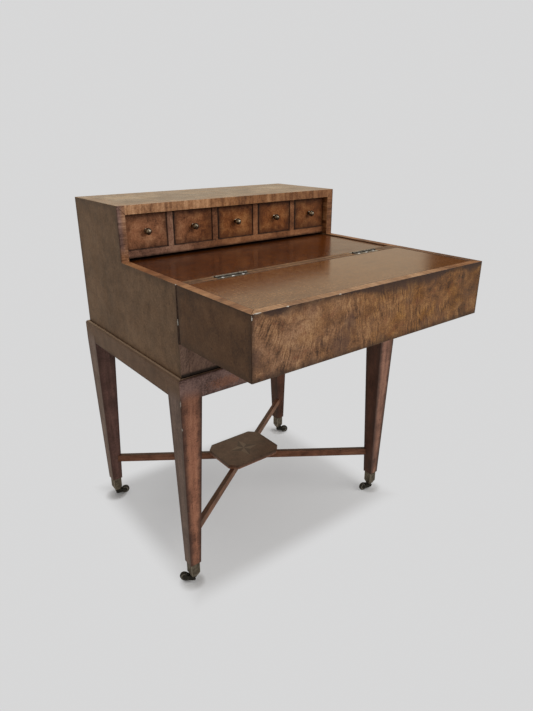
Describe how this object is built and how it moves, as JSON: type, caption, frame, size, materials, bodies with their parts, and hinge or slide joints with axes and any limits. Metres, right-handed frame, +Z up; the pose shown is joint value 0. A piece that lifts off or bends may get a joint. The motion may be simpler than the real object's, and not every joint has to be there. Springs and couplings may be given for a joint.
{
  "type": "folding writing desk",
  "caption": "Veneered writing desk with a drawer gallery, a box leaf hinged to fold out level with the deck, and a tapered-leg stand with a stretcher platform on swivel castors.",
  "frame": {"origin": "on the floor, under the middle of the open desk's outline", "axes": "+Z up, +X across the desk to the sitter's right, -Y towards the sitter"},
  "size_m": [0.6908, 0.7504, 0.887],
  "materials": {
    "veneer": "satin shellac over dark veneer",
    "burl": "satin shellac over burl veneer",
    "field": "polished, worn to a soft sheen",
    "mahogany": "waxed, dark at the edges",
    "drawer_wood": "bare, dry",
    "aged_brass": "dull antique patina",
    "dark_bronze": "near-black patina",
    "nickel": "worn plate"
  },
  "bodies": {
    "desk": {"leg_front_left": "mahogany", "leg_front_right": "mahogany", "leg_back_left": "mahogany", "leg_back_right": "mahogany", "apron_front": "mahogany", "apron_right": "mahogany", "apron_back": "mahogany", "apron_left": "mahogany", "stretcher_front_left_back_right": "mahogany", "stretcher_front_right_back_left": "mahogany", "stretcher_platform": "mahogany", "castor_socket_front_left": "aged_brass", "castor_socket_front_right": "aged_brass", "castor_socket_back_left": "aged_brass", "castor_socket_back_right": "aged_brass", "case_side_left": "veneer", "case_side_right": "veneer", "case_front": "veneer", "case_back": "veneer", "case_bottom": "veneer", "gallery_shelf": "veneer", "gallery_top": "veneer", "gallery_divider_1": "veneer", "gallery_divider_2": "veneer", "gallery_divider_3": "veneer", "gallery_divider_4": "veneer", "deck_board": "field", "hinge_left_case_plate": "nickel", "hinge_right_case_plate": "nickel"},
    "leaf": {"leaf_top": "field", "leaf_front": "burl", "leaf_side_left": "veneer", "leaf_side_right": "veneer", "leaf_back": "veneer", "leaf_bottom": "veneer", "hinge_left_leaf_plate": "nickel", "hinge_right_leaf_plate": "nickel"},
    "drawer_1": {"drawer_1_front": "burl", "drawer_1_knob": "aged_brass", "drawer_1_tray": "drawer_wood"},
    "drawer_2": {"drawer_2_front": "burl", "drawer_2_knob": "aged_brass", "drawer_2_tray": "drawer_wood"},
    "drawer_3": {"drawer_3_front": "burl", "drawer_3_knob": "aged_brass", "drawer_3_tray": "drawer_wood"},
    "drawer_4": {"drawer_4_front": "burl", "drawer_4_knob": "aged_brass", "drawer_4_tray": "drawer_wood"},
    "drawer_5": {"drawer_5_front": "burl", "drawer_5_knob": "aged_brass", "drawer_5_tray": "drawer_wood"},
    "castor_front_left": {"castor_fork_front_left": "dark_bronze"},
    "wheel_front_left": {"castor_wheel_front_left": "dark_bronze"},
    "castor_front_right": {"castor_fork_front_right": "dark_bronze"},
    "wheel_front_right": {"castor_wheel_front_right": "dark_bronze"},
    "castor_back_left": {"castor_fork_back_left": "dark_bronze"},
    "wheel_back_left": {"castor_wheel_back_left": "dark_bronze"},
    "castor_back_right": {"castor_fork_back_right": "dark_bronze"},
    "wheel_back_right": {"castor_wheel_back_right": "dark_bronze"}
  },
  "joints": [
    {"name": "leaf_fold", "type": "hinge", "parent": "desk", "child": "leaf", "pos_m": [0, -0.1295, 0.7624], "axis": [1, 0, 0], "range_deg": [-180, 0]},
    {"name": "drawer_1_slide", "type": "slide", "parent": "desk", "child": "drawer_1", "axis": [0, -1, 0], "range_m": [0, 0.15]},
    {"name": "drawer_2_slide", "type": "slide", "parent": "desk", "child": "drawer_2", "axis": [0, -1, 0], "range_m": [0, 0.15]},
    {"name": "drawer_3_slide", "type": "slide", "parent": "desk", "child": "drawer_3", "axis": [0, -1, 0], "range_m": [0, 0.15]},
    {"name": "drawer_4_slide", "type": "slide", "parent": "desk", "child": "drawer_4", "axis": [0, -1, 0], "range_m": [0, 0.15]},
    {"name": "drawer_5_slide", "type": "slide", "parent": "desk", "child": "drawer_5", "axis": [0, -1, 0], "range_m": [0, 0.15]},
    {"name": "castor_front_left_swivel", "type": "hinge", "parent": "desk", "child": "castor_front_left", "pos_m": [-0.3181, -0.1079, 0.0125], "axis": [0, 0, 1], "continuous": true},
    {"name": "wheel_front_left_spin", "type": "hinge", "parent": "castor_front_left", "child": "wheel_front_left", "pos_m": [-0.33482, -0.09118, 0.0125], "axis": [-0.7071, -0.7071, 0], "continuous": true},
    {"name": "castor_front_right_swivel", "type": "hinge", "parent": "desk", "child": "castor_front_right", "pos_m": [0.3181, -0.1079, 0.0125], "axis": [0, 0, 1], "continuous": true},
    {"name": "wheel_front_right_spin", "type": "hinge", "parent": "castor_front_right", "child": "wheel_front_right", "pos_m": [0.29506, -0.10258, 0.0125], "axis": [-0.225, -0.9744, 0], "continuous": true},
    {"name": "castor_back_left_swivel", "type": "hinge", "parent": "desk", "child": "castor_back_left", "pos_m": [-0.3181, 0.3473, 0.0125], "axis": [0, 0, 1], "continuous": true},
    {"name": "wheel_back_left_spin", "type": "hinge", "parent": "castor_back_left", "child": "wheel_back_left", "pos_m": [-0.29506, 0.34198, 0.0125], "axis": [0.225, 0.9744, 0], "continuous": true},
    {"name": "castor_back_right_swivel", "type": "hinge", "parent": "desk", "child": "castor_back_right", "pos_m": [0.3181, 0.3473, 0.0125], "axis": [0, 0, 1], "continuous": true},
    {"name": "wheel_back_right_spin", "type": "hinge", "parent": "castor_back_right", "child": "wheel_back_right", "pos_m": [0.33482, 0.33058, 0.0125], "axis": [0.7071, 0.7071, 0], "continuous": true}
  ]
}
